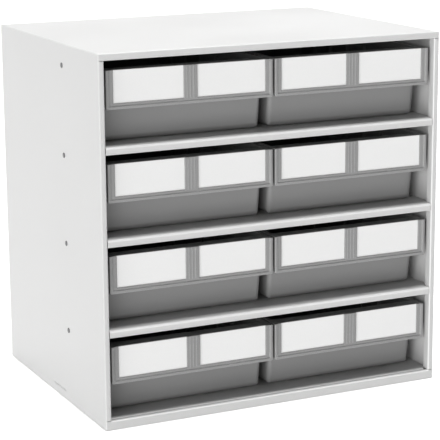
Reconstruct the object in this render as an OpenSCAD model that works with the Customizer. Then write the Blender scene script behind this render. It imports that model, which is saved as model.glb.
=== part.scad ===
// Parts bin cabinet: a folded sheet-steel case with three shelves and a floor tray, and
// eight moulded bins that slide out of it in two columns. Each bin has a label holder
// across its front. Millimetres: the front faces -Y and the case stands on z = 0.

/* [Bin] */
// Width of a bin over its rim and label holder
bin_w = 188; // [160:1:240]
// Height of a bin
bin_h = 77; // [68:1:120]
// Depth of a bin from the label holder's face to the rear flange
bin_d = 288; // [220:1:400]
// Wall thickness of a bin
bin_wall = 2.2; // [1.6:0.1:3]
// Floor thickness of a bin
bin_floor = 2.4; // [1.6:0.1:3.5]
// Thickness of a bin's rear flange
rear_t = 3; // [2:0.1:4]
// Draft of the side walls in degrees
draft = 0.8; // [0.5:0.1:2]
// Lean of the front wall in degrees
lean = 8; // [3:0.5:12]
// Set-back of the front wall's foot behind the label holder's face
front_foot = 26; // [24:1:34]
// Radius of the upright front corners
corner_r = 5; // [4:0.5:10]
// Radius along the edges of the bin floor
floor_r = 8; // [4:0.5:10]
// Overhang of the rim beyond the side walls
rim_over = 2.4; // [2.1:0.1:5]
// Thickness of the rim
rim_t = 2; // [1.5:0.1:3]
// Radius of the rim's rear corners
rim_r = 4; // [2:0.5:8]

/* [Divider grooves] */
// Distance between divider grooves
groove_pitch = 40; // [30:1:60]
// Width of a divider groove
groove_w = 2; // [1.5:0.1:3]
// Width of the two ribs that make a groove
rib_w = 1.6; // [1:0.1:2.5]
// How far the ribs stand off the side wall
rib_d = 1.4; // [0.8:0.1:2.5]
// How far the ribs end below the rim
rib_drop = 9; // [4:0.5:20]

/* [Label holder] */
// Height of the label holder
holder_h = 40; // [32:1:50]
// Thickness of the label holder
holder_t = 4.8; // [4.4:0.1:7]
// Width of the raised bead round the label holder
bead_w = 3; // [2:0.1:4]
// How far the bead stands proud of the face
bead_t = 1.2; // [0.6:0.1:1.6]
// Width of the post between the two windows
post_w = 15.2; // [10:0.1:24]
// Width of the posts at the two ends
end_post_w = 7.9; // [6:0.1:14]
// Height of the rail below the windows
rail_h = 6; // [5:0.5:9]
// Thickness of the lips that hold a card
lip_t = 1; // [0.8:0.1:1.4]
// How far the lips reach over a card
lip_over = 1.8; // [1:0.1:2.4]
// Thickness of a label card
card_t = 0.5; // [0.3:0.1:0.8]
// Height of the fine ribs on the post
flute_t = 0.4; // [0.3:0.1:1]
// Thickness of the webs at the ends of the finger grip
web_t = 2; // [1.5:0.1:3]

/* [Case] */
// Sheet thickness
sheet_t = 1; // [0.7:0.1:1.2]
// Outside radius of the bends
bend_r = 1.6; // [1.4:0.1:2.4]
// Width of the front flanges at the sides
side_flange = 6.5; // [5:0.5:12]
// Height of the front flange at the top
top_flange = 7.4; // [5:0.1:14]
// Height of the front flange at the base
base_flange = 10.2; // [8:0.1:16]
// Depth of the return behind the side and top flanges
return_d = 10; // [6:0.5:16]
// Depth of the return behind the base flange
base_return = 4; // [3:0.5:6]
// Width of the rear flanges
rear_flange = 12; // [8:0.5:20]
// Width of the seam where two front flanges meet
seam_w = 0.5; // [0.3:0.1:0.8]

/* [Shelves] */
// Height of a shelf's front edge
shelf_front = 8.1; // [7:0.1:14]
// Outside radius of the nose at the top of a shelf's front edge
nose_r = 3; // [2:0.1:3.5]
// Depth of the hem under a shelf's front edge
hem_d = 7; // [5:0.5:12]
// Height of the flanges at the sides and rear of a shelf
skirt_h = 12; // [8:0.5:20]
// How far the base flange stays below the lowest floor
base_drop = 0.4; // [0.3:0.1:3]
// Extra height of the lowest tier
base_extra = 1.1; // [0:0.1:6]
// Width of a locating tab
tab_w = 38; // [20:1:60]
// Distance of the rear tabs from the middle
tab_x = 110; // [60:1:140]
// Set-back of the floor tray's side tabs behind the front
tab_y = 136; // [80:1:180]

/* [Stop pins] */
// Radius of a stop pin's shank
pin_r = 2.2; // [1.5:0.1:2.5]
// Radius of a stop pin's head
pin_head_r = 2.9; // [2.6:0.1:4]
// Height of a stop pin's head
pin_head_t = 0.8; // [0.5:0.1:1.5]
// Set-back of the stop pins behind the front
pin_y = 103.3; // [60:0.1:140]
// Gap between a stop pin and the bin's rim above it
pin_drop = 1; // [0.5:0.1:6]
// How far a stop pin reaches in front of a bin's rear flange
pin_catch = 1.8; // [1.2:0.1:2.1]
// Length and depth of the taper at a stop pin's end
pin_taper = 0.7; // [0.3:0.1:1]

/* [Clearances] */
// Gap between two bins side by side
bin_gap = 3; // [2:0.1:8]
// Gap between a bin and the side flange
side_clear = 4; // [2:0.1:10]
// Gap between a bin and the edge above it
head_clear = 10.7; // [6:0.1:20]
// Gap between a bin and the floor that it slides on
slide_clear = 0.2; // [0.1:0.05:0.4]
// Set-back of the label holders behind the case's front
front_set = 6; // [3:0.5:12]
// Gap between a bin and the back panel
rear_clear = 4; // [2:0.5:10]
// Gap round a tab, a pin or a card in its slot
slot_clear = 0.3; // [0.1:0.05:0.4]
// Gap between a shelf's front edge and the returns beside it
shelf_clear = 0.4; // [0.2:0.1:0.8]
// Gap between the base flange and the floor tray
tray_clear = 2.5; // [1.5:0.1:4]

/* [Hidden] */
tiers = 4;
arc_fn = 48;
over = 1;                                   // how far a cutter runs past a face
reach = 1.1;                                // how far a corner piece runs past its corner
blend = 1.001;                              // an arc crosses its faces a hair from the tangent
inner_r = bend_r - sheet_t;                 // inside radius of the bends
bay_h = slide_clear + bin_h + head_clear;   // clear height of one tier
pitch = bay_h + shelf_front;                // tier to tier
tray_z = base_flange + base_drop;           // height of the lowest floor
case_w = 2 * (bin_w + side_clear + side_flange) + bin_gap;
case_h = tray_z + base_extra + tiers * pitch - shelf_front + top_flange;
case_d = front_set + bin_d + rear_clear + 2 * sheet_t;
front_y = -case_d / 2;                      // front plane of the case
wall_x = case_w / 2 - sheet_t;              // inside face of a side wall
open_x = case_w / 2 - side_flange;          // half width of the front opening
open_top = case_h - top_flange;
back_y = case_d / 2 - 2 * sheet_t;          // inside face of the back panel
bin_x = (bin_w + bin_gap) / 2;              // middle of a column
bin_y = front_y + front_set;                // face of a label holder
top_half = bin_w / 2 - rim_over;            // half width of a bin's body at the rim
foot_half = top_half - bin_h * tan(draft);  // and at its foot
pin_z = slide_clear + bin_h - rim_t - pin_drop - pin_r;     // above the floor of a tier
card_y = bead_t + lip_t;                    // front of the card slot in a label holder
card_slot = card_t + slot_clear;
root_y = (card_y + card_slot + holder_t) / 2;   // middle of the label holder's back wall
window_w = (bin_w - post_w) / 2 - end_post_w;
window_x = (window_w + post_w) / 2;         // middle of a window
window_z = bin_h - holder_h + rail_h;       // foot of a window
card_edge = lip_over - slot_clear;          // width of card behind each lip
flutes = 3;

// Height of the floor of a tier, counted from the top
function floor_at(row) = tray_z + (row < tiers ? base_extra + (tiers - row) * pitch : 0);

// ---- outlines with true arcs at their corners, points anticlockwise ----

function unit(v) = v / norm(v);
function arm(p, i, step) = unit(p[(i + step + len(p)) % len(p)] - p[i]);
function half_angle(p, i) = acos(arm(p, i, -1) * arm(p, i, 1)) / 2;
function tangent_point(p, r, i, step) = p[i] + arm(p, i, step) * r[i] / tan(half_angle(p, i));
function arc_centre(p, r, i) =
    p[i] + unit(arm(p, i, -1) + arm(p, i, 1)) * r[i] / sin(half_angle(p, i));
function is_convex(p, i) = cross(arm(p, i, 1), arm(p, i, -1)) > 0;

// What lies between corner i and its arc, a little larger than the corner itself
module corner_piece(p, r, i) {
    c = arc_centre(p, r, i);
    difference() {
        polygon([c, for (q = [tangent_point(p, r, i, -1), p[i], tangent_point(p, r, i, 1)])
            c + (q - c) * reach]);
        translate(c) circle(r[i] * blend, $fn = arc_fn);
    }
}

// Convex corners lose their corner piece, and hollow ones gain it
module rounded(p, r) {
    last = len(p) - 1;
    difference() {
        polygon(p);
        for (i = [0 : last]) if (r[i] > 0 && is_convex(p, i)) corner_piece(p, r, i);
    }
    for (i = [0 : last]) if (r[i] > 0 && !is_convex(p, i)) corner_piece(p, r, i);
}

// Rectangle from one corner to the other, with one radius at its first two corners
// and one at its last two
module plate(a, b, r_low, r_high) {
    rounded([a, [b[0], a[1]], b, [a[0], b[1]]], [r_low, r_low, r_high, r_high]);
}

// An outline in X and Z, drawn out along Y
module along_y(y0, y1) {
    translate([0, y1, 0]) rotate([90, 0, 0]) linear_extrude(y1 - y0) children();
}

// An outline in Y and Z, drawn out along X
module along_x(x0, x1) {
    translate([x0, 0, 0]) rotate([90, 0, 90]) linear_extrude(x1 - x0) children();
}

// An outline in X and Y, drawn out along Z
module along_z(z0, z1) {
    translate([0, 0, z0]) linear_extrude(z1 - z0) children();
}

// Box from one corner to the other
module block(a, b) {
    translate(a) cube(b - a);
}

// ---- case ----

// The case's outer form, or its inside when inset by the sheet
module rounded_case(inset) {
    x = case_w / 2 - inset;
    y = case_d / 2 - inset;
    z = case_h - inset;
    r = bend_r - inset;
    intersection() {
        along_y(-y, y) plate([-x, inset], [x, z], r, r);
        along_z(inset, z) plate([-x, -y], [x, y], r, r);
        along_x(-x, x) plate([-y, inset], [y, z], r, r);
    }
}

// Section of the front opening: straight sides from a to b, flared at the front by the
// bend's outside radius
module flare(a, b) {
    difference() {
        union() {
            translate([a, front_y - over]) square([b - a, return_d + 2 * over]);
            translate([a - bend_r, front_y - over]) square([b - a + 2 * bend_r, bend_r + over]);
        }
        for (x = [a - bend_r, b + bend_r])
            translate([x, front_y + bend_r]) circle(bend_r * blend, $fn = arc_fn);
    }
}

module front_opening() {
    intersection() {
        along_z(0, case_h) flare(-open_x, open_x);
        along_x(-case_w / 2, case_w / 2) mirror([1, -1]) flare(base_flange, open_top);
    }
}

// Returns behind the front flanges
module returns() {
    difference() {
        block([-open_x - sheet_t, front_y + bend_r / 2, base_flange - sheet_t],
              [open_x + sheet_t, front_y + return_d, open_top + sheet_t]);
        block([-open_x, front_y, base_flange], [open_x, front_y + return_d + over, open_top]);
        block([-open_x - 2 * sheet_t, front_y + base_return, 0],
              [open_x + 2 * sheet_t, front_y + return_d + over, base_flange + over / 2]);
    }
}

// Seams where the side flanges meet the top and base flanges
module seams() {
    for (s = [-1, 1], z = [base_flange, open_top - seam_w])
        block([s > 0 ? open_x - over : bend_r - case_w / 2, front_y - over, z],
              [s > 0 ? case_w / 2 - bend_r : over - open_x, front_y + sheet_t, z + seam_w]);
}

module pin_holes() {
    for (row = [1 : tiers])
        translate([-case_w, front_y + pin_y, floor_at(row) + pin_z])
            rotate([0, 90, 0])
                cylinder(r = pin_r + slot_clear / 2, h = 2 * case_w, $fn = arc_fn);
}

// Slots for the floor tray's tabs
module tab_slots() {
    block([-case_w, front_y + tab_y - tab_w / 2 - slot_clear, tray_z - sheet_t - slot_clear],
          [case_w, front_y + tab_y + tab_w / 2 + slot_clear, tray_z + slot_clear]);
}

module case_shell() {
    rear_x = case_w / 2 - rear_flange;
    color("gainsboro") difference() {
        union() {
            difference() {
                rounded_case(0);
                rounded_case(sheet_t);
            }
            returns();
        }
        front_opening();
        block([-rear_x, back_y, rear_flange], [rear_x, case_d, case_h - rear_flange]);
        seams();
        pin_holes();
        tab_slots();
    }
}

module back_panel() {
    edge = sheet_t + inner_r + slot_clear;      // the panel stays clear of the inside bends
    x = case_w / 2 - edge;
    color("gainsboro") difference() {
        block([-x, back_y, edge], [x, back_y + sheet_t, case_h - edge]);
        for (row = [1 : tiers - 1], s = [-1, 1])
            block([s * tab_x - tab_w / 2 - slot_clear, back_y - over, floor_at(row) - sheet_t - slot_clear],
                  [s * tab_x + tab_w / 2 + slot_clear, case_d, floor_at(row) + slot_clear]);
    }
}

// ---- shelves ----

// Section of a shelf's front edge: a nose, a face and a hem turned back under it
module shelf_nose(z, plate_end) {
    t = sheet_t;
    low = z - shelf_front;
    rounded([[plate_end, z], [front_y, z], [front_y, low], [front_y + hem_d, low],
             [front_y + hem_d, low + t], [front_y + t, low + t], [front_y + t, z - t], [plate_end, z - t]],
            [0, nose_r, bend_r, 0, 0, inner_r, nose_r - t, 0]);
}

// Section of a plate whose side edges are turned down by h
module skirted(z, h) {
    x = wall_x;
    t = sheet_t;
    rounded([[-x, z - h], [t - x, z - h], [t - x, z - t], [x - t, z - t], [x - t, z - h], [x, z - h],
             [x, z], [-x, z]], [0, 0, inner_r, inner_r, 0, 0, bend_r, bend_r]);
}

module shelf(row) {
    z = floor_at(row);
    body_y = front_y + return_d + shelf_clear;  // the full width starts behind the returns
    color("gainsboro") {
        along_x(shelf_clear - open_x, open_x - shelf_clear) shelf_nose(z, body_y + over);
        along_y(body_y, back_y) skirted(z, skirt_h);
        difference() {
            block([inner_r + sheet_t - wall_x, back_y - sheet_t, z - skirt_h],
                  [wall_x - sheet_t - inner_r, back_y, z - sheet_t]);
            for (s = [-1, 1])
                block([s * tab_x - tab_w / 2 - over, back_y - 2 * sheet_t, z - skirt_h - over],
                      [s * tab_x + tab_w / 2 + over, back_y + over, z]);
        }
        for (s = [-1, 1])
            block([s * tab_x - tab_w / 2, back_y - over, z - sheet_t],
                  [s * tab_x + tab_w / 2, back_y + sheet_t, z]);
    }
}

// Floor of the lowest tier: its front edge stands on the case's base sheet, and a tab through
// each side wall locates it
module floor_tray() {
    tray_y = front_y + base_return + tray_clear;
    body_y = front_y + return_d + shelf_clear;
    t = sheet_t;
    color("gainsboro") {
        along_x(shelf_clear + t - open_x, open_x - t - shelf_clear)
            rounded([[body_y + over, tray_z], [tray_y, tray_z], [tray_y, t], [tray_y + t, t],
                     [tray_y + t, tray_z - t], [body_y + over, tray_z - t]],
                    [0, bend_r, 0, 0, inner_r, 0]);
        difference() {
            along_y(body_y, back_y) skirted(tray_z, tray_z - bend_r);     // above the case's bends
            for (s = [-1, 1])
                block([s * wall_x - 2 * t, front_y + tab_y - tab_w / 2 - over, 0],
                      [s * wall_x + 2 * t, front_y + tab_y + tab_w / 2 + over, tray_z + over]);
        }
        for (s = [0, 1]) mirror([s, 0, 0])
            block([wall_x - 3 * t, front_y + tab_y - tab_w / 2, tray_z - t],
                  [case_w / 2, front_y + tab_y + tab_w / 2, tray_z]);
    }
}

// ---- stop pins ----

// Pins of one side wall, each with a domed head outside and a tapered end inside
module stop_pins(side) {
    tip = bin_x + bin_w / 2 - pin_catch;        // the end of a pin, in front of the rear flange
    length = case_w / 2 - tip;
    color("dimgray") for (row = [1 : tiers])
        translate([side * case_w / 2, front_y + pin_y, floor_at(row) + pin_z])
            rotate([0, -side * 90, 0])
                rotate_extrude($fn = arc_fn)
                    rounded([[0, -pin_head_t], [pin_head_r, -pin_head_t], [pin_head_r, 0], [pin_r, 0],
                             [pin_r, length - pin_taper], [pin_r - pin_taper, length], [0, length]],
                            [0, pin_head_t, 0, 0, 0, 0, 0]);
}

// ---- bins ----

// Half width of a bin's body, and set-back of its front wall, inset by a wall thickness
function half_at(z, inset) = foot_half + z * tan(draft) - inset / cos(draft);
function front_at(z, inset) = front_foot - z * tan(lean) + inset / cos(lean);

// The body's form between two heights: drafted sides, a leaning front, rounded corners
module tub(inset, z0, z1, rear) {
    r = floor_r - inset;
    intersection() {
        along_y(0, rear)
            rounded([[-half_at(z0, inset), z0], [half_at(z0, inset), z0],
                     [half_at(z1, inset), z1], [-half_at(z1, inset), z1]], [r, r, 0, 0]);
        along_x(-bin_w, bin_w)
            rounded([[front_at(z0, inset), z0], [rear, z0], [rear, z1], [front_at(z1, inset), z1]],
                    [r, 0, 0, 0]);
    }
}

// What the round front corners take off the body's form, on the right
module corner_cut(inset) {
    r = corner_r - inset;
    translate([half_at(0, inset), front_at(0, inset), 0])
        rotate([lean, draft, 0])
            along_z(-corner_r, bin_h + corner_r)
                difference() {
                    translate([-r, -r]) square(2 * r);
                    translate([-r, r]) circle(r * blend, $fn = arc_fn);
                }
}

module rounded_tub(inset, z0, z1, rear) {
    difference() {
        tub(inset, z0, z1, rear);
        for (s = [0, 1]) mirror([s, 0, 0]) corner_cut(inset);
    }
}

// Ribs that make the divider grooves in both side walls
module divider_ribs() {
    first = front_foot + bin_wall + groove_pitch / 2;
    last = bin_d - rear_t - groove_pitch / 2;
    for (s = [0, 1], y = [first : groove_pitch : last], side = [-1, 1])
        mirror([s, 0, 0])
            translate([half_at(0, bin_wall) - rib_d, y + side * (groove_w + rib_w) / 2 - rib_w / 2, 0])
                rotate([0, draft, 0])
                    cube([rib_d + bin_wall / 2, rib_w, bin_h - rim_t - rib_drop]);
}

// Plate across the front with a bead, two windows open at the top and slots for cards
module label_holder() {
    x = bin_w / 2;
    foot = bin_h - holder_h;
    difference() {
        along_y(0, holder_t) plate([-x, foot], [x, bin_h], bead_w / 2, 0);
        block([bead_w - x, -over, foot + bead_w], [x - bead_w, bead_t, bin_h + over]);
        for (s = [-1, 1]) {
            block([s * window_x - window_w / 2, -over, window_z],
                  [s * window_x + window_w / 2, card_y + over / 4, bin_h + over]);
            block([s * window_x - window_w / 2 - lip_over, card_y, window_z - lip_over],
                  [s * window_x + window_w / 2 + lip_over, card_y + card_slot, bin_h + over]);
        }
    }
    for (i = [1 : flutes])
        translate([(i - (flutes + 1) / 2) * post_w / (flutes + 1), bead_t, window_z])
            along_z(0, bin_h - window_z) circle(flute_t, $fn = arc_fn / 2);
}

// Webs between the label holder and the front wall, behind the inner edges of the end posts
module grip_webs() {
    foot = bin_h - holder_h;
    x = bin_w / 2 - end_post_w;
    y1 = front_at(0, bin_wall / 2);
    for (s = [0, 1]) mirror([s, 0, 0])
        along_x(x - web_t, x)
            polygon([[root_y, foot + bead_w], [y1, foot + y1 - holder_t], [y1, bin_h], [root_y, bin_h]]);
}

module bin_body() {
    x = bin_w / 2;
    difference() {
        union() {
            rounded_tub(0, 0, bin_h, bin_d);
            along_z(bin_h - rim_t, bin_h) plate([-x, root_y], [x, bin_d], 0, rim_r);
            along_y(bin_d - rear_t, bin_d) plate([-x, floor_r], [x, bin_h], corner_r, 0);
            grip_webs();
        }
        difference() {
            rounded_tub(bin_wall, bin_floor, bin_h + over, bin_d - rear_t);
            divider_ribs();
        }
    }
    label_holder();
}

module bin(row, side) {
    color("dimgray") translate([side * bin_x, bin_y, floor_at(row) + slide_clear]) bin_body();
}

// The two blank cards of one bin, in their slots
module cards(row, side) {
    w = window_w / 2 + card_edge;
    y = card_y + slot_clear / 2;
    color("white") translate([side * bin_x, bin_y, floor_at(row) + slide_clear])
        for (s = [-1, 1])
            along_y(y, y + card_t)
                plate([s * window_x - w, window_z - lip_over], [s * window_x + w, bin_h - slot_clear], 0, 0);
}

case_shell();
back_panel();
shelf(1);  // shelf_1
shelf(2);  // shelf_2
shelf(3);  // shelf_3
floor_tray();
stop_pins(-1);  // stop_pins_left
stop_pins(1);  // stop_pins_right
bin(1, -1);  // bin_1_left
bin(1, 1);  // bin_1_right
bin(2, -1);  // bin_2_left
bin(2, 1);  // bin_2_right
bin(3, -1);  // bin_3_left
bin(3, 1);  // bin_3_right
bin(4, -1);  // bin_4_left
bin(4, 1);  // bin_4_right
cards(1, -1);  // cards_1_left
cards(1, 1);  // cards_1_right
cards(2, -1);  // cards_2_left
cards(2, 1);  // cards_2_right
cards(3, -1);  // cards_3_left
cards(3, 1);  // cards_3_right
cards(4, -1);  // cards_4_left
cards(4, 1);  // cards_4_right
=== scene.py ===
"""Finishes for a parts bin cabinet: powder-coated sheet, moulded bins, blank label cards and
nylon stop pins, each a procedural material on the cabinet's own parts, and a plain studio."""

import math

import bmesh
import bpy
from bpy.props import FloatProperty, FloatVectorProperty, PointerProperty
from bpy.types import Operator, Panel, PropertyGroup
from mathutils import Matrix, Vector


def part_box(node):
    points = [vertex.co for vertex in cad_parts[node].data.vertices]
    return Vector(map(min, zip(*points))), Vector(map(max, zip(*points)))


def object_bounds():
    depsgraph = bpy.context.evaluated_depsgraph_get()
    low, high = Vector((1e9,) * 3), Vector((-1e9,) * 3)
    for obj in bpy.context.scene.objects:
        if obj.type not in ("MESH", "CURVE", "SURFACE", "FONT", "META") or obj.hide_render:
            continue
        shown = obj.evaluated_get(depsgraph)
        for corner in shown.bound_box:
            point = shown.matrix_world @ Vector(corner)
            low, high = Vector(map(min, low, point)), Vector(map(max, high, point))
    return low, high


bl_info = {
    "name": "Parts bin cabinet",
    "version": (1, 0, 0),
    "blender": (4, 5, 0),
    "location": "3D View > Sidebar > Parts bins",
    "description": "Finishes a parts bin cabinet and sets up a plain studio round it",
    "category": "Material",
}

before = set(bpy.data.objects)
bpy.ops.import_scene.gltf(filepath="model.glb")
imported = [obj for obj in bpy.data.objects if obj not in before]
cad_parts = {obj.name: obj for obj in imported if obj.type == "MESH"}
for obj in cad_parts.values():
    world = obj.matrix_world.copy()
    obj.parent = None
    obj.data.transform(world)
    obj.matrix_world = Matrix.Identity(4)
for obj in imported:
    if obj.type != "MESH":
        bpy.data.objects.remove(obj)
CAD_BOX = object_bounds()

SHEET_NODES = ("case_shell", "back_panel")
SHELF_NODES = ("shelf_1", "shelf_2", "shelf_3", "floor_tray")
BIN_NODES = tuple(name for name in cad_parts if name.startswith("bin_"))
CARD_NODES = tuple(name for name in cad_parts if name.startswith("cards_"))
PIN_NODES = ("stop_pins_left", "stop_pins_right")

# lengths in metres
HOLDER_DEPTH = 0.0048           # thickness of a label holder, from the front of its bin
HOLDER_FADE = 0.0004            # the holder's look ends over this
LIP_INSET = 0.003               # the case's own outer folds lie within this of the CAD's box
LIP_FADE = 0.0005               # the lips' look ends over this
CARD_EDGE = 0.0002
FIBRE_DEPTH = 0.00001
PIN_EDGE = 0.0004
PIN_GRAIN = 0.0004
PIN_GRAIN_DEPTH = 0.00001

HOLDER_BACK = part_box(BIN_NODES[0])[0][1] + HOLDER_DEPTH     # along Y
LIP_SIDE = CAD_BOX[1].x - LIP_INSET     # the lips of the opening and the shelves lie inside these
LIP_TOP = CAD_BOX[1].z - LIP_INSET

# tones that pits, rubbed places and edges tend to; the edge tones also carry painted highlights
PAINT_PIT = (0.5, 0.5, 0.5)
PAINT_EDGE_AND_HIGHLIGHT = (0.86, 0.86, 0.86)
PLASTIC_PIT = (0.16, 0.16, 0.16)
PLASTIC_RUB = (0.42, 0.42, 0.42)
PLASTIC_EDGE_AND_HIGHLIGHT = (0.45, 0.45, 0.45)
CARD_FIBRE = (0.7, 0.7, 0.69)
NYLON_EDGE = (0.16, 0.16, 0.16)

PAINT_RUB_DULLING = 0.2         # added to the paint's roughness where it is rubbed
PLASTIC_EDGE_POLISH = 0.1       # taken from the plastic's roughness where it is handled

NOISE_LOW, NOISE_MIDDLE, NOISE_HIGH = 0.3, 0.5, 0.7     # most of a noise lies from low to high
BEVEL_SAMPLES = 6

NODES_IN_ROW = 8
NODE_WIDTH, NODE_HEIGHT = 220, 320      # room for a node in the node editor

SENSOR_WIDTH = 36                       # millimetres
FLOOR_CELLS = 8                         # along each side of the floor


# ---- sizes and colours ----

class PowderCoat(PropertyGroup):
    """Paint on the folded case, its back panel, the shelves and the floor tray"""
    colour: FloatVectorProperty(
        name="Colour", description="Colour of the paint", subtype="COLOR", size=3,
        min=0, max=1, default=(0.52, 0.52, 0.517))
    gloss: FloatProperty(
        name="Roughness", description="Roughness of the satin paint", subtype="FACTOR",
        min=0, max=1, default=0.42)
    texture: FloatProperty(
        name="Texture", description="Distance between the bumps of the fine texture",
        subtype="DISTANCE", unit="LENGTH", min=0.0002, max=0.01, default=0.0011)
    texture_depth: FloatProperty(
        name="Texture depth", description="Height of the bumps of the fine texture",
        subtype="DISTANCE", unit="LENGTH", min=0, max=0.001, default=0.00002)
    edge_radius: FloatProperty(
        name="Edge", description="Radius to which paint rounds a folded edge",
        subtype="DISTANCE", unit="LENGTH", min=0.0001, max=0.005, default=0.0009)
    # Lighter edges: partly a thinner coat, partly a painted highlight
    edge_wear_and_highlight: FloatProperty(
        name="Edge thinning and highlight", description="How much lighter the paint is on an edge",
        subtype="FACTOR", min=0, max=1, default=0.3)
    # Painted highlight: how much lighter the folds round the opening and the shelves' noses and
    # lower edges are painted
    lip_highlight: FloatProperty(
        name="Lip highlight",
        description="How much lighter the folds round the opening and the shelves are",
        subtype="FACTOR", min=0, max=1, default=0.38)


class BinPlastic(PropertyGroup):
    """Moulded plastic of the bins"""
    # The body's colour is darker than the holder's: painted shade on the set-back body
    colour: FloatVectorProperty(
        name="Colour", description="Colour of the plastic", subtype="COLOR", size=3,
        min=0, max=1, default=(0.18, 0.18, 0.179))
    # Painted light: the front holder gets a lighter colour than the body of the same plastic
    holder_lit_colour: FloatVectorProperty(
        name="Label holder", description="Colour of the label holder, which looks lighter",
        subtype="COLOR", size=3, min=0, max=1, default=(0.235, 0.235, 0.234))
    gloss: FloatProperty(
        name="Roughness", description="Roughness of the moulded surface", subtype="FACTOR",
        min=0, max=1, default=0.46)
    grain: FloatProperty(
        name="Grain", description="Distance between the pits of the mould's grain",
        subtype="DISTANCE", unit="LENGTH", min=0.0001, max=0.005, default=0.0006)
    grain_depth: FloatProperty(
        name="Grain depth", description="Depth of the mould's grain",
        subtype="DISTANCE", unit="LENGTH", min=0, max=0.001, default=0.000025)
    edge_radius: FloatProperty(
        name="Edge", description="Radius of the moulded edges",
        subtype="DISTANCE", unit="LENGTH", min=0.0001, max=0.005, default=0.0007)
    holder_edge: FloatProperty(
        name="Holder edge", description="Radius of the soft edges of the label holder",
        subtype="DISTANCE", unit="LENGTH", min=0.0001, max=0.005, default=0.0016)
    # Lighter edges: partly handling wear, partly a painted highlight
    edge_wear_and_highlight: FloatProperty(
        name="Edge wear and highlight", description="How much lighter a handled edge is",
        subtype="FACTOR", min=0, max=1, default=0.3)
    # Painted highlight on the holder's soft edges and steps, lightening where shade falls
    holder_edge_highlight: FloatProperty(
        name="Holder highlight", description="How much lighter the soft edges of the holder are",
        subtype="FACTOR", min=0, max=1, default=0.5)


class LabelCard(PropertyGroup):
    """Blank cards in the label holders"""
    colour: FloatVectorProperty(
        name="Colour", description="Colour of the card", subtype="COLOR", size=3,
        min=0, max=1, default=(0.83, 0.83, 0.826))
    fibre: FloatProperty(
        name="Fibre", description="Size of the mottle of the card's fibres",
        subtype="DISTANCE", unit="LENGTH", min=0.0001, max=0.01, default=0.0016)


class PinNylon(PropertyGroup):
    """Stop pins through the side walls"""
    colour: FloatVectorProperty(
        name="Colour", description="Colour of the nylon", subtype="COLOR", size=3,
        min=0, max=1, default=(0.075, 0.075, 0.077))


class Studio(PropertyGroup):
    """Floor, light and camera"""
    floor_colour: FloatVectorProperty(
        name="Floor", description="Colour of the floor", subtype="COLOR", size=3,
        min=0, max=1, default=(0.95, 0.95, 0.95))
    floor_size: FloatProperty(
        name="Floor size", description="Half the width of the floor",
        subtype="DISTANCE", unit="LENGTH", min=2, max=200, default=40)
    room_light: FloatProperty(
        name="Room", description="Light that comes from all round", min=0, max=5, default=0.05)
    front_light: FloatProperty(
        name="Front light", description="Light from the front", min=0, max=20, default=0.75)
    left_light: FloatProperty(
        name="Left light", description="Wide, low light from the front left", min=0, max=20,
        default=3.4)
    side_light: FloatProperty(
        name="Side light", description="Light from above and behind the left side", min=0, max=20,
        default=1.33)
    back_light: FloatProperty(
        name="Back light", description="High light from behind", min=0, max=20, default=2.1)
    overhead_light: FloatProperty(
        name="Overhead light", description="Narrow light from above", min=0, max=20,
        default=2.6)
    right_light: FloatProperty(
        name="Right light", description="Wide light on the right side", min=0, max=20,
        default=2.1)
    camera_place: FloatVectorProperty(
        name="Camera", description="Where the camera stands", subtype="TRANSLATION",
        unit="LENGTH", size=3, default=(-0.83455, -1.75754, 0.61767))
    camera_turn: FloatVectorProperty(
        name="Camera turn",
        description="Pitch, roll and yaw of the camera from a level view along +Y",
        subtype="EULER", unit="ROTATION", size=3,
        default=(math.radians(-12.82), math.radians(0.42), math.radians(-25.53)))
    lens: FloatProperty(
        name="Lens", description="Focal length for a 36 mm sensor, in millimetres",
        min=20, max=400, default=142.7)


# name, setting, elevation, azimuth (0 is the front, 90 the right) and width, in degrees
LIGHTS = (("Front light", "front_light", -3, 20, 20),
          ("Left light", "left_light", -10, -50, 60),
          ("Side light", "side_light", 37, -110, 60),
          ("Back light", "back_light", 60, 150, 60),
          ("Overhead light", "overhead_light", 85, 0, 12),
          ("Right light", "right_light", 15, 100, 60))

GROUPS = {"cabinet_paint": PowderCoat, "cabinet_plastic": BinPlastic, "cabinet_card": LabelCard,
          "cabinet_pin": PinNylon, "cabinet_studio": Studio}

# each operator in the sidebar, and the group of settings under it
SIDEBAR = (("case", "cabinet_paint"), ("shelves", None), ("bins", "cabinet_plastic"),
           ("cards", "cabinet_card"), ("stop_pins", "cabinet_pin"), ("stage", "cabinet_studio"))


# ---- node graphs ----

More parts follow.
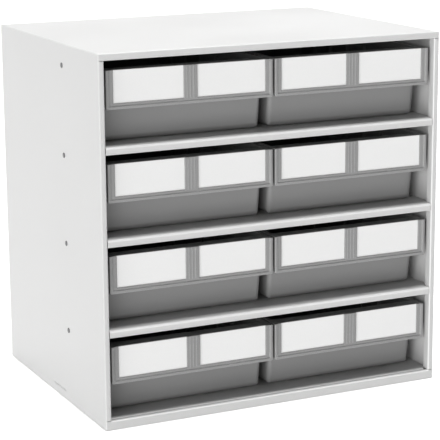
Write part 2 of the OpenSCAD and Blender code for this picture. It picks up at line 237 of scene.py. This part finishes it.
class Graph:
    """Adds nodes to a tree in rows from left to right and links them by socket name"""

    def __init__(self, tree):
        self.tree = tree
        self.count = 0

    def place(self, kind):
        """A new node of that kind in the next free place"""
        node = self.tree.nodes.new(kind)
        row, column = divmod(self.count, NODES_IN_ROW)
        node.location = (column * NODE_WIDTH, -row * NODE_HEIGHT)
        self.count += 1
        return node

    def feed(self, socket, value):
        """Gives a socket a value, or links another node's output to it"""
        if isinstance(value, bpy.types.NodeSocket):
            self.tree.links.new(value, socket)
        elif socket.type == "RGBA":
            socket.default_value = (*value, 1)
        else:
            socket.default_value = value

    def add(self, kind, **sockets):
        """A new node with its sockets fed; a name's underscores stand for spaces"""
        node = self.place(kind)
        for name, value in sockets.items():
            self.feed(node.inputs[name.replace("_", " ")], value)
        return node

    def math(self, operation, a, b=0.0, clamp=False):
        """The result of a sum on numbers"""
        node = self.place("ShaderNodeMath")
        node.operation = operation
        node.use_clamp = clamp
        self.feed(node.inputs[0], a)
        self.feed(node.inputs[1], b)
        return node.outputs[0]

    def vector(self, operation, a, b):
        """The outputs of a sum on vectors"""
        node = self.place("ShaderNodeVectorMath")
        node.operation = operation
        self.feed(node.inputs[0], a)
        self.feed(node.inputs[1], b)
        return node.outputs

    def ramp(self, value, start, end, to_start=0.0, to_end=1.0):
        """Maps start..end to to_start..to_end, clamped"""
        return self.add("ShaderNodeMapRange", Value=value, From_Min=start, From_Max=end,
                        To_Min=to_start, To_Max=to_end).outputs["Result"]

    def vary(self, noise, low, high):
        """Turns a noise into a value from low to high"""
        return self.ramp(noise, NOISE_LOW, NOISE_HIGH, low, high)

    def mix(self, factor, a, b, blend="MIX"):
        """Mixes two colours"""
        node = self.place("ShaderNodeMix")
        node.data_type = "RGBA"
        node.blend_type = blend
        self.feed(node.inputs["Factor"], factor)
        for socket, value in zip([s for s in node.inputs if s.type == "RGBA"], (a, b)):
            self.feed(socket, value)
        return [s for s in node.outputs if s.type == "RGBA"][0]

    def tint(self, colour, tone, mask, amount):
        """Brings a colour towards a tone where the mask is, by that amount at most"""
        return self.mix(self.math("MULTIPLY", mask, amount), colour, tone)

    def coordinates(self):
        """Places in the object's own space, in metres"""
        return self.add("ShaderNodeTexCoord").outputs["Object"]

    def noise(self, place, scale, detail, **sockets):
        """A noise from 0 to 1"""
        return self.add("ShaderNodeTexNoise", Vector=place, Scale=scale, Detail=detail,
                        **sockets).outputs[0]


def node_group(name, inputs, outputs):
    """An empty shader node group, its graph, what it is given and what it puts out"""
    tree = bpy.data.node_groups.new(name, "ShaderNodeTree")
    for label, kind, default in inputs:
        socket = tree.interface.new_socket(label, in_out="INPUT", socket_type="NodeSocket" + kind)
        socket.default_value = default
    for label, kind in outputs:
        tree.interface.new_socket(label, in_out="OUTPUT", socket_type="NodeSocket" + kind)
    graph = Graph(tree)
    given = graph.place("NodeGroupInput")
    result = tree.nodes.new("NodeGroupOutput")
    result.location.x = NODES_IN_ROW * NODE_WIDTH
    return tree, graph, given.outputs, result.inputs


def grain_group():
    """Fine bumps in two sizes: their height, and a mask of the pits between them"""
    noise_share, cell_share, cell_scale = 0.65, 0.35, 0.8
    tree, g, given, result = node_group(
        "Fine grain", [("Spacing", "Float", 0.001), ("Softness", "Float", 0.5)],
        [("Height", "Float"), ("Pits", "Float")])
    place = g.coordinates()
    scale = g.math("DIVIDE", 1.0, given["Spacing"])
    broad = g.noise(place, scale, detail=2.0, Roughness=given["Softness"])
    cells = g.add("ShaderNodeTexVoronoi", Vector=place,
                  Scale=g.math("MULTIPLY", scale, cell_scale))
    cells.feature = "SMOOTH_F1"
    height = g.math("ADD", g.math("MULTIPLY", broad, noise_share),
                    g.math("MULTIPLY", cells.outputs["Distance"], cell_share))
    g.feed(result["Height"], height)
    g.feed(result["Pits"], g.ramp(height, start=0.5, end=0.35))
    return tree


def drift_group():
    """Slow change of tone over a surface, and finer mottle on top of it"""
    mottle_scale = 40.0
    tree, g, given, result = node_group(
        "Tone drift", [("Colour", "Color", (0.5, 0.5, 0.5, 1)), ("Size", "Float", 0.1),
                       ("Drift", "Float", 0.05), ("Mottle", "Float", 0.02)],
        [("Colour", "Color"), ("Cloud", "Float")])
    place = g.coordinates()
    scale = g.math("DIVIDE", 1.0, given["Size"])
    cloud = g.noise(place, scale, detail=3.0)
    fine = g.noise(place, g.math("MULTIPLY", scale, mottle_scale), detail=2.0)
    slow = g.math("MULTIPLY", g.math("SUBTRACT", cloud, NOISE_MIDDLE), given["Drift"])
    quick = g.math("MULTIPLY", g.math("SUBTRACT", fine, NOISE_MIDDLE), given["Mottle"])
    # a noise strays by a half from its middle, so twice that is the whole change
    gain = g.math("ADD", 1.0, g.math("MULTIPLY", g.math("ADD", slow, quick), 2.0))
    tone = g.add("ShaderNodeCombineColor", Red=gain, Green=gain, Blue=gain).outputs[0]
    g.feed(result["Colour"], g.mix(1.0, given["Colour"], tone, "MULTIPLY"))
    g.feed(result["Cloud"], cloud)
    return tree


def edge_group():
    """Rounded edges: the softened normal, and a mask of where edges are, broken up by noise"""
    noise_scale = 180.0
    tree, g, given, result = node_group(
        "Edge wear", [("Radius", "Float", 0.001), ("Breakup", "Float", 0.4)],
        [("Normal", "Vector"), ("Mask", "Float")])
    soft = g.add("ShaderNodeBevel", Radius=given["Radius"])
    soft.samples = BEVEL_SAMPLES
    flat = g.add("ShaderNodeNewGeometry").outputs["Normal"]
    alike = g.vector("DOT_PRODUCT", soft.outputs[0], flat)["Value"]
    edge = g.ramp(alike, start=0.998, end=0.90)
    noise = g.noise(g.coordinates(), noise_scale, detail=3.0)
    patch = g.ramp(noise, start=0.35, end=0.6)
    kept = g.math("SUBTRACT", 1.0, g.math("MULTIPLY", given["Breakup"],
                                          g.math("SUBTRACT", 1.0, patch)))
    g.feed(result["Normal"], soft.outputs[0])
    g.feed(result["Mask"], g.math("MULTIPLY", edge, kept, clamp=True))
    return tree


def scuff_group():
    """Faint rubbing marks drawn out along the less stretched directions, as a mask"""
    patch_scale = 14.0
    tree, g, given, result = node_group(
        "Rub marks", [("Stretch", "Vector", (40.0, 900.0, 900.0)), ("Amount", "Float", 0.3)],
        [("Mask", "Float")])
    place = g.coordinates()
    drawn = g.vector("MULTIPLY", place, given["Stretch"])["Vector"]
    streak = g.noise(drawn, 1.0, detail=4.0, Roughness=0.7)
    where = g.noise(place, patch_scale, detail=2.0)
    mark = g.math("MULTIPLY", g.ramp(streak, start=0.58, end=0.75),
                  g.ramp(where, start=0.45, end=0.65))
    g.feed(result["Mask"], g.math("MULTIPLY", mark, given["Amount"], clamp=True))
    return tree


EFFECTS = {"Fine grain": grain_group, "Tone drift": drift_group, "Edge wear": edge_group,
           "Rub marks": scuff_group}


def effect(graph, name, **sockets):
    """Places a shared node group in a material, building it the first time"""
    node = graph.place("ShaderNodeGroup")
    node.node_tree = bpy.data.node_groups.get(name) or EFFECTS[name]()
    node.label = name
    for socket, value in sockets.items():
        graph.feed(node.inputs[socket], value)
    return node.outputs


# ---- materials ----

def material(name):
    """A new material with its graph and its Principled shader"""
    made = bpy.data.materials.new(name)
    made.use_nodes = True
    return made, Graph(made.node_tree), made.node_tree.nodes["Principled BSDF"]


def bump(graph, height, depth, normal):
    """The normal, bent by heights that span that depth"""
    return graph.add("ShaderNodeBump", Height=height, Distance=depth, Strength=1.0,
                     Normal=normal).outputs[0]


def surface(graph, shader, colour, roughness, normal, ior):
    """Feeds the Principled shader"""
    graph.feed(shader.inputs["Base Color"], colour)
    graph.feed(shader.inputs["Roughness"], roughness)
    graph.feed(shader.inputs["Normal"], normal)
    graph.feed(shader.inputs["IOR"], ior)


def powder_coat(name, paint):
    """Light grey powder coat on sheet steel: satin, fine texture, edges lighter from a thinner
    coat and a painted highlight, and a painted highlight on the folds round the opening and the
    shelves
    """
    made, g, shader = material(name)
    drift = effect(g, "Tone drift", Colour=tuple(paint.colour), Size=0.16, Drift=0.03,
                   Mottle=0.012)
    edge = effect(g, "Edge wear", Radius=paint.edge_radius, Breakup=0.35)
    grain = effect(g, "Fine grain", Spacing=paint.texture, Softness=0.5)
    rubbed = effect(g, "Rub marks", Stretch=(60.0, 60.0, 700.0), Amount=0.3)
    shaded = g.tint(drift["Colour"], PAINT_PIT, grain["Pits"], amount=0.05)
    place = g.add("ShaderNodeSeparateXYZ", Vector=g.coordinates()).outputs
    across = g.ramp(g.math("ABSOLUTE", place["X"]), LIP_SIDE, LIP_SIDE - LIP_FADE)
    below = g.ramp(place["Z"], LIP_TOP, LIP_TOP - LIP_FADE)
    normal = g.add("ShaderNodeNewGeometry").outputs["Normal"]
    facing = g.add("ShaderNodeSeparateXYZ", Vector=normal).outputs
    sides = [g.math("ABSOLUTE", facing[axis]) for axis in "XYZ"]
    square = g.math("MAXIMUM", g.math("MAXIMUM", sides[0], sides[1]), sides[2])
    inside = g.math("MULTIPLY", across, below)
    # the folds round the opening and of the shelves, which get a painted highlight
    lip = g.math("MULTIPLY", inside, g.ramp(square, start=0.995, end=0.9))
    # edges painted lighter: thinner coat and painted highlight
    thin_coat_and_highlight = g.tint(shaded, PAINT_EDGE_AND_HIGHLIGHT, edge["Mask"], amount=paint.edge_wear_and_highlight)
    # painted highlight on those folds
    edges_adjusted = g.tint(thin_coat_and_highlight, PAINT_EDGE_AND_HIGHLIGHT, lip, amount=paint.lip_highlight)
    rough = g.vary(drift["Cloud"], low=paint.gloss - 0.03, high=paint.gloss + 0.04)
    dulled = g.math("ADD", rough, g.math("MULTIPLY", rubbed["Mask"], PAINT_RUB_DULLING))
    bumpy = bump(g, grain["Height"], paint.texture_depth, edge["Normal"])
    surface(g, shader, edges_adjusted, dulled, bumpy, ior=1.5)
    return made


def bin_plastic(name, plastic):
    """Mid grey moulded plastic: spark-eroded grain, a label holder painted lighter than the body
    as painted light on the holder and painted shade on the set-back body, softer holder edges
    with a painted highlight, edges polished by handling and painted lighter as a highlight, slide
    marks"""
    made, g, shader = material(name)
    place = g.add("ShaderNodeSeparateXYZ", Vector=g.coordinates()).outputs
    holder = g.ramp(place["Y"], HOLDER_BACK, HOLDER_BACK - HOLDER_FADE)
    # painted light and shade: the lighter holder colour and the darker body colour
    colour = g.mix(holder, tuple(plastic.colour), tuple(plastic.holder_lit_colour))
    drift = effect(g, "Tone drift", Colour=colour, Size=0.09, Drift=0.05, Mottle=0.02)
    radius = g.ramp(holder, 0.0, 1.0, plastic.edge_radius, plastic.holder_edge)
    edge = effect(g, "Edge wear", Radius=radius, Breakup=0.25)
    grain = effect(g, "Fine grain", Spacing=plastic.grain, Softness=0.6)
    rubbed = effect(g, "Rub marks", Stretch=(900.0, 50.0, 900.0), Amount=0.5)
    pitted = g.tint(drift["Colour"], PLASTIC_PIT, grain["Pits"], amount=0.14)
    worn = g.tint(pitted, PLASTIC_RUB, rubbed["Mask"], amount=0.3)
    # painted highlight on the holder's edges, and handling wear with a painted highlight on the
    # other edges
    gain = g.ramp(holder, 0.0, 1.0, plastic.edge_wear_and_highlight, plastic.holder_edge_highlight)
    lit = g.tint(worn, PLASTIC_EDGE_AND_HIGHLIGHT, edge["Mask"], amount=gain)
    rough = g.vary(drift["Cloud"], low=plastic.gloss - 0.05, high=plastic.gloss + 0.05)
    edges_adjusted = g.math("SUBTRACT", rough, g.math("MULTIPLY", edge["Mask"], PLASTIC_EDGE_POLISH))
    bumpy = bump(g, grain["Height"], plastic.grain_depth, edge["Normal"])
    surface(g, shader, lit, edges_adjusted, bumpy, ior=1.49)
    return made


def label_card(name, card):
    """Uncoated white card with a faint mottle of fibres"""
    made, g, shader = material(name)
    drift = effect(g, "Tone drift", Colour=tuple(card.colour), Size=0.05, Drift=0.012,
                   Mottle=0.02)
    fibre = effect(g, "Fine grain", Spacing=card.fibre, Softness=0.75)
    cut = effect(g, "Edge wear", Radius=CARD_EDGE, Breakup=0.5)
    toned = g.tint(drift["Colour"], CARD_FIBRE, fibre["Pits"], amount=0.04)
    edged = g.tint(toned, CARD_FIBRE, cut["Mask"], amount=0.3)
    rough = g.vary(fibre["Height"], low=0.78, high=0.9)
    bumpy = bump(g, fibre["Height"], FIBRE_DEPTH, cut["Normal"])
    surface(g, shader, edged, rough, bumpy, ior=1.4)
    return made


def pin_nylon(name, pin):
    """Dark nylon with a slight sheen and worn edges"""
    made, g, shader = material(name)
    drift = effect(g, "Tone drift", Colour=tuple(pin.colour), Size=0.004, Drift=0.12,
                   Mottle=0.05)
    edge = effect(g, "Edge wear", Radius=PIN_EDGE, Breakup=0.4)
    grain = effect(g, "Fine grain", Spacing=PIN_GRAIN, Softness=0.5)
    lit = g.tint(drift["Colour"], NYLON_EDGE, edge["Mask"], amount=0.35)
    rough = g.vary(grain["Height"], low=0.34, high=0.46)
    bumpy = bump(g, grain["Height"], PIN_GRAIN_DEPTH, edge["Normal"])
    surface(g, shader, lit, rough, bumpy, ior=1.53)
    return made


def studio_floor(name, colour):
    """Matt paper floor with a faint mottle"""
    made, g, shader = material(name)
    drift = effect(g, "Tone drift", Colour=tuple(colour), Size=0.6, Drift=0.004, Mottle=0.003)
    g.feed(shader.inputs["Base Color"], drift["Colour"])
    shader.inputs["Roughness"].default_value = 0.9
    shader.inputs["Specular IOR Level"].default_value = 0.0
    return made


def dress(names, made):
    """Gives every one of these nodes the material, in all its slots"""
    for name in names:
        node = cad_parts[name]
        for place in node.material_slots:
            place.material = made


# ---- operators, one for each piece or group of like pieces ----

class CABINET_OT_case(Operator):
    """Powder coats the folded case and its back panel"""
    bl_idname = "cabinet.case"
    bl_label = "Case and back panel"

    def execute(self, context):
        paint = context.scene.cabinet_paint
        dress(SHEET_NODES, powder_coat("Cabinet powder coat", paint))
        return {"FINISHED"}


class CABINET_OT_shelves(Operator):
    """Powder coats the three shelves and the floor tray"""
    bl_idname = "cabinet.shelves"
    bl_label = "Shelves and floor tray"

    def execute(self, context):
        paint = context.scene.cabinet_paint
        dress(SHELF_NODES, powder_coat("Shelf powder coat", paint))
        return {"FINISHED"}


class CABINET_OT_bins(Operator):
    """Gives the eight bins their moulded plastic"""
    bl_idname = "cabinet.bins"
    bl_label = "Bins"

    def execute(self, context):
        plastic = context.scene.cabinet_plastic
        dress(BIN_NODES, bin_plastic("Bin plastic", plastic))
        return {"FINISHED"}


class CABINET_OT_cards(Operator):
    """Gives the blank label cards their card"""
    bl_idname = "cabinet.cards"
    bl_label = "Label cards"

    def execute(self, context):
        card = context.scene.cabinet_card
        dress(CARD_NODES, label_card("Label card", card))
        return {"FINISHED"}


class CABINET_OT_stop_pins(Operator):
    """Gives the stop pins their nylon"""
    bl_idname = "cabinet.stop_pins"
    bl_label = "Stop pins"

    def execute(self, context):
        pin = context.scene.cabinet_pin
        dress(PIN_NODES, pin_nylon("Pin nylon", pin))
        return {"FINISHED"}


def sun(name, strength, elevation, azimuth, width):
    """An even light from that height and side"""
    data = bpy.data.lights.new(name, "SUN")
    data.energy = strength
    data.angle = math.radians(width)
    lamp = bpy.data.objects.new(name, data)
    lamp.matrix_world = (Matrix.Rotation(math.radians(azimuth), 4, "Z")
                         @ Matrix.Rotation(math.radians(90 - elevation), 4, "X"))
    bpy.context.scene.collection.objects.link(lamp)


class CABINET_OT_stage(Operator):
    """Sets up the pale floor, the soft light and the camera"""
    bl_idname = "cabinet.stage"
    bl_label = "Studio"

    def execute(self, context):
        studio = context.scene.cabinet_studio
        self.floor(context, studio)
        self.light(context, studio)
        self.camera(context, studio)
        return {"FINISHED"}

    def floor(self, context, studio):
        """A wide, pale floor under the cabinet"""
        mesh = bpy.data.meshes.new("studio_floor")
        shape = bmesh.new()
        bmesh.ops.create_grid(shape, x_segments=FLOOR_CELLS, y_segments=FLOOR_CELLS,
                              size=studio.floor_size)
        shape.to_mesh(mesh)
        shape.free()
        mesh.materials.append(studio_floor("Studio floor", studio.floor_colour))
        floor = bpy.data.objects.new("studio_floor", mesh)
        floor.location.z = CAD_BOX[0].z
        floor.visible_diffuse = False       # the low lights stand for what it throws back
        floor.visible_shadow = False        # and shine through it
        context.scene.collection.objects.link(floor)

    def light(self, context, studio):
        """White surroundings and the lights of the list"""
        world = bpy.data.worlds.new("Studio room")
        world.use_nodes = True
        room = world.node_tree.nodes["Background"]
        room.inputs["Color"].default_value = (1, 1, 1, 1)
        g = Graph(world.node_tree)          # the room looks white, and is dim as a light
        seen = g.add("ShaderNodeLightPath").outputs["Is Camera Ray"]
        g.feed(room.inputs["Strength"], g.math("MAXIMUM", seen, studio.room_light))
        context.scene.world = world
        context.scene.view_settings.view_transform = "Standard"
        for name, setting, elevation, azimuth, width in LIGHTS:
            sun(name, getattr(studio, setting), elevation, azimuth, width)

    def camera(self, context, studio):
        """The main view"""
        data = bpy.data.cameras.new("Camera")
        data.lens = studio.lens
        data.sensor_width = SENSOR_WIDTH
        pitch, roll, yaw = studio.camera_turn
        level = Matrix.Rotation(math.pi / 2, 4, "X")    # turns the view from down to along +Y
        camera = bpy.data.objects.new("Camera", data)
        camera.matrix_world = (Matrix.Translation(studio.camera_place)
                               @ Matrix.Rotation(yaw, 4, "Z") @ Matrix.Rotation(pitch, 4, "X")
                               @ Matrix.Rotation(roll, 4, "Y") @ level)
        context.scene.collection.objects.link(camera)
        context.scene.camera = camera


class CABINET_PT_sidebar(Panel):
    """Lists the cabinet's operators and their settings"""
    bl_label = "Parts bin cabinet"
    bl_idname = "CABINET_PT_sidebar"
    bl_space_type = "VIEW_3D"
    bl_region_type = "UI"
    bl_category = "Parts bins"

    def draw(self, context):
        for operator, group in SIDEBAR:
            column = self.layout.column()
            column.operator("cabinet." + operator)
            if group:
                for name in GROUPS[group].__annotations__:
                    column.prop(getattr(context.scene, group), name)


CLASSES = (*GROUPS.values(), CABINET_OT_case, CABINET_OT_shelves, CABINET_OT_bins,
           CABINET_OT_cards, CABINET_OT_stop_pins, CABINET_OT_stage, CABINET_PT_sidebar)


def register():
    for made in CLASSES:
        bpy.utils.register_class(made)
    for name, group in GROUPS.items():
        setattr(bpy.types.Scene, name, PointerProperty(type=group))


def unregister():
    for name in GROUPS:
        delattr(bpy.types.Scene, name)
    for made in reversed(CLASSES):
        bpy.utils.unregister_class(made)


def main():
    register()
    bpy.ops.cabinet.case()
    bpy.ops.cabinet.shelves()
    bpy.ops.cabinet.bins()
    bpy.ops.cabinet.cards()
    bpy.ops.cabinet.stop_pins()
    bpy.ops.cabinet.stage()


if __name__ == "__main__":
    main()
